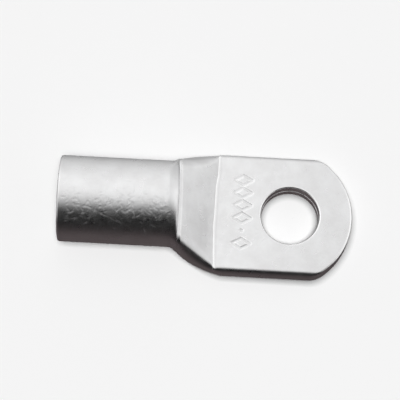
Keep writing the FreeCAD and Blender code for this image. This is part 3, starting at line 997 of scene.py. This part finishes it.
# %% [markdown]
# ## The light tent
#
# Metal shows what it reflects, so its look is made by its surroundings more than by its colour. A
# photographer hangs a tent of bright and dark cloth around it. Here the tent is a wide tube round the
# lug's long axis that only reflections see. Its light changes round the axis: white overhead, fading
# towards the far side, and dark on the near side from half height down, which gives the barrel its
# dark lower half. It also changes a little along the axis, and the two ends are plain glowing discs.
#
# The angle is measured from upright, so 0 is overhead and 90 is level on the +Y side. A flat palm
# reflects one small part of the tent, and the round barrel reflects nearly all of it, so the stops
# can be set one by one: first the palm's own angle, and then the others down the barrel.

# %% Brightness round the tent and along it
TENT_RADIUS, TENT_HALF = 150, 300
ROUND_LIGHT = [
    (-180, 0.08), (-150, 0.082), (-122, 0.078), (-105, 0.04), (-85, 0.015), (-65, 0.01), (-50, 0.017),
    (-38, 0.095), (-25, 0.465), (-10, 0.88), (5, 1.0), (20, 1.03), (35, 1.0), (50, 0.94), (70, 0.85),
    (85, 0.745), (95, 0.69), (112, 0.55), (135, 0.34), (150, 0.105), (165, 0.065),
]
LONG_LIGHT = [
    (-300, 1.4), (-120, 1.25), (-60, 1.06), (-40, 1.0), (-24, 1.06), (-12, 1.24), (-4, 1.13), (6, 0.81),
    (20, 0.9), (60, 0.93), (110, 0.98), (190, 1.09), (300, 1.42),
]
BROWN = 0.13


def ramp(tree, value, stops, reach):
    """Brightness through (place, brightness) stops from -reach to reach; low down it is slightly brown."""
    node = add(tree, "ShaderNodeValToRGB", {"Fac": value})
    elements = node.color_ramp.elements
    while len(elements) > 1:
        elements.remove(elements[-1])
    for number, (place, light) in enumerate(stops):
        part = (place + reach) / (2 * reach)
        stop = elements[0] if number == 0 else elements.new(part)
        stop.position = part
        brown = BROWN if light < 0.1 and abs(place) > 95 else 0.0
        stop.color = (light * (1 + brown), light * (1 - brown / 2), light * (1 - brown / 3), 1)
    return node.outputs[0]


print("stops of light:", len(ROUND_LIGHT), "round and", len(LONG_LIGHT), "along")

# %% The tent's material
def far_glow(tree, parts, colour):
    """Above the floor the dark side is short: past its two ends the tent is at least softly lit."""
    ahead = mapped(tree, parts["X"], 0.0, 0.6, 100 * MM, 185 * MM, "SMOOTHSTEP")
    behind = mapped(tree, parts["X"], 0.0, 0.6, -100 * MM, -190 * MM, "SMOOTHSTEP")
    raised = mapped(tree, parts["Z"], 0.0, 1.0, 10 * MM, 60 * MM, "SMOOTHSTEP")
    lit = worked_out(tree, "MULTIPLY", worked_out(tree, "ADD", ahead, behind), raised)
    return mixed(tree, "RGBA", 1.0, colour, lit, "LIGHTEN")


def glowing(name, colour, strength=1.0):
    """A material that only glows. Colour and strength are typed in, or made by a function of the tree."""
    material, tree = new_material(name)
    tree.nodes.remove(tree.nodes["Principled BSDF"])
    values = {"Color": colour, "Strength": strength}
    inputs = {key: value(tree) if callable(value) else value for key, value in values.items()}
    glow = add(tree, "ShaderNodeEmission", inputs)
    tree.links.new(glow.outputs[0], tree.nodes["Material Output"].inputs["Surface"])
    return material


def tent_place(tree):
    """X, Y and Z on the tent."""
    place = tree.nodes.new("ShaderNodeTexCoord").outputs["Object"]
    return add(tree, "ShaderNodeSeparateXYZ", {0: place}).outputs


def round_colour(tree):
    """Light that changes round the axis, 0 upright and positive towards +Y."""
    parts = tent_place(tree)
    angle = worked_out(tree, "ARCTAN2", parts["Y"], parts["Z"])
    part = mapped(tree, angle, 0.0, 1.0, -math.pi, math.pi)
    return far_glow(tree, parts, ramp(tree, part, ROUND_LIGHT, 180))


def long_strength(tree):
    """Light that changes along the axis. A ramp holds no more than 1, so it is halved and doubled again."""
    part = mapped(tree, tent_place(tree)["X"], 0.0, 1.0, -TENT_HALF * MM, TENT_HALF * MM)
    halved = [(x, light / 2) for x, light in LONG_LIGHT]
    return worked_out(tree, "MULTIPLY", ramp(tree, part, halved, TENT_HALF), 2.0)


tent_light = glowing("light_tent", round_colour, long_strength)
print("material:", tent_light.name, "with", len(tent_light.node_tree.nodes), "nodes")

# %% The tent's mesh
END_NEAR_MOUTH, END_PAST_PALM = 0.6, 0.835
turns = np.radians(np.arange(0, 360, 3))
hoop = [(TENT_RADIUS * math.sin(turn), TENT_RADIUS * math.cos(turn)) for turn in turns]
count = len(hoop)
corners = [(x, y, z) for x in (-TENT_HALF, TENT_HALF) for y, z in hoop]
tent_faces = [(i, (i + 1) % count, count + (i + 1) % count, count + i) for i in range(count)]
tent_faces += [tuple(range(count)), tuple(range(count, 2 * count))]
tent_materials = [
    tent_light,
    glowing("end_near_mouth", (END_NEAR_MOUTH,) * 3 + (1,)),
    glowing("end_past_palm", (END_PAST_PALM,) * 3 + (1,)),
]
tent = show("light_tent", corners, tent_faces, tent_materials)
tent.data.polygons[count].material_index = 1
tent.data.polygons[count + 1].material_index = 2
for rays in ("camera", "diffuse", "shadow", "transmission", "volume_scatter"):
    setattr(tent, "visible_" + rays, False)
print("faces of the tent:", len(tent.data.polygons))


# %% [markdown]
# ## The lamp and the surround
#
# The paper is lit by one wide, soft lamp above the camera's side, which lays a soft shadow on the far
# side of the lug, and by a faint white surround. Both are only as strong as the paper needs to show
# its own colour, and the lamp isn't seen in the metal.

# %% The lamp and the white surround
lamp = bpy.data.lights.new("soft_lamp", "SUN")
lamp.energy = 2.67
lamp.angle = math.radians(18)
sun = bpy.data.objects.new("soft_lamp", lamp)
sun.rotation_euler = (math.radians(15), 0, 0)
sun.visible_glossy = False
bpy.context.scene.collection.objects.link(sun)

world = bpy.data.worlds.new("studio")
bpy.context.scene.world = world
world.use_nodes = True
surround = world.node_tree.nodes["Background"]
surround.inputs["Color"].default_value = (1.0, 1.0, 1.0, 1)
surround.inputs["Strength"].default_value = 0.17
print("lamp %.2f, surround %.2f" % (lamp.energy, surround.inputs["Strength"].default_value))


# %% [markdown]
# ## The camera
#
# The camera looks down on the palm from 72.5 degrees above the near side, through a long lens that
# keeps the lug's sides nearly parallel. It leans by about three degrees, so the lug lies slightly
# slanted in the picture. Its place is worked out from the target, the distance and those angles.

# %% The camera
ELEVATION, AZIMUTH, LEAN = (math.radians(angle) for angle in (72.5, 0.12, 2.94))
TARGET = Vector((-13.05, 1.63, 3.0))
DISTANCE = 257.8
back = Vector((
    math.sin(AZIMUTH) * math.cos(ELEVATION),
    -math.cos(AZIMUTH) * math.cos(ELEVATION),
    math.sin(ELEVATION),
))
right = Vector((math.cos(AZIMUTH), math.sin(AZIMUTH), 0))
upward = back.cross(right)
tilted_right = right * math.cos(LEAN) + upward * math.sin(LEAN)
tilted_up = upward * math.cos(LEAN) - right * math.sin(LEAN)
lens = bpy.data.cameras.new("camera")
lens.sensor_width = 36
lens.lens = 161.1
lens.clip_start = 0.01
lens.clip_end = 20
camera = bpy.data.objects.new("camera", lens)
camera.matrix_world = Matrix((
    (tilted_right.x, tilted_up.x, back.x, (TARGET.x + back.x * DISTANCE) * MM),
    (tilted_right.y, tilted_up.y, back.y, (TARGET.y + back.y * DISTANCE) * MM),
    (tilted_right.z, tilted_up.z, back.z, (TARGET.z + back.z * DISTANCE) * MM),
    (0, 0, 0, 1),
))
bpy.context.scene.collection.objects.link(camera)
bpy.context.scene.camera = camera
print("camera at", [round(value / MM, 1) for value in camera.matrix_world.translation])


# %% [markdown]
# ## The end
#
# The view transform is set to Standard, so a colour shows about as it is written.

bpy.context.scene.view_settings.view_transform = "Standard"
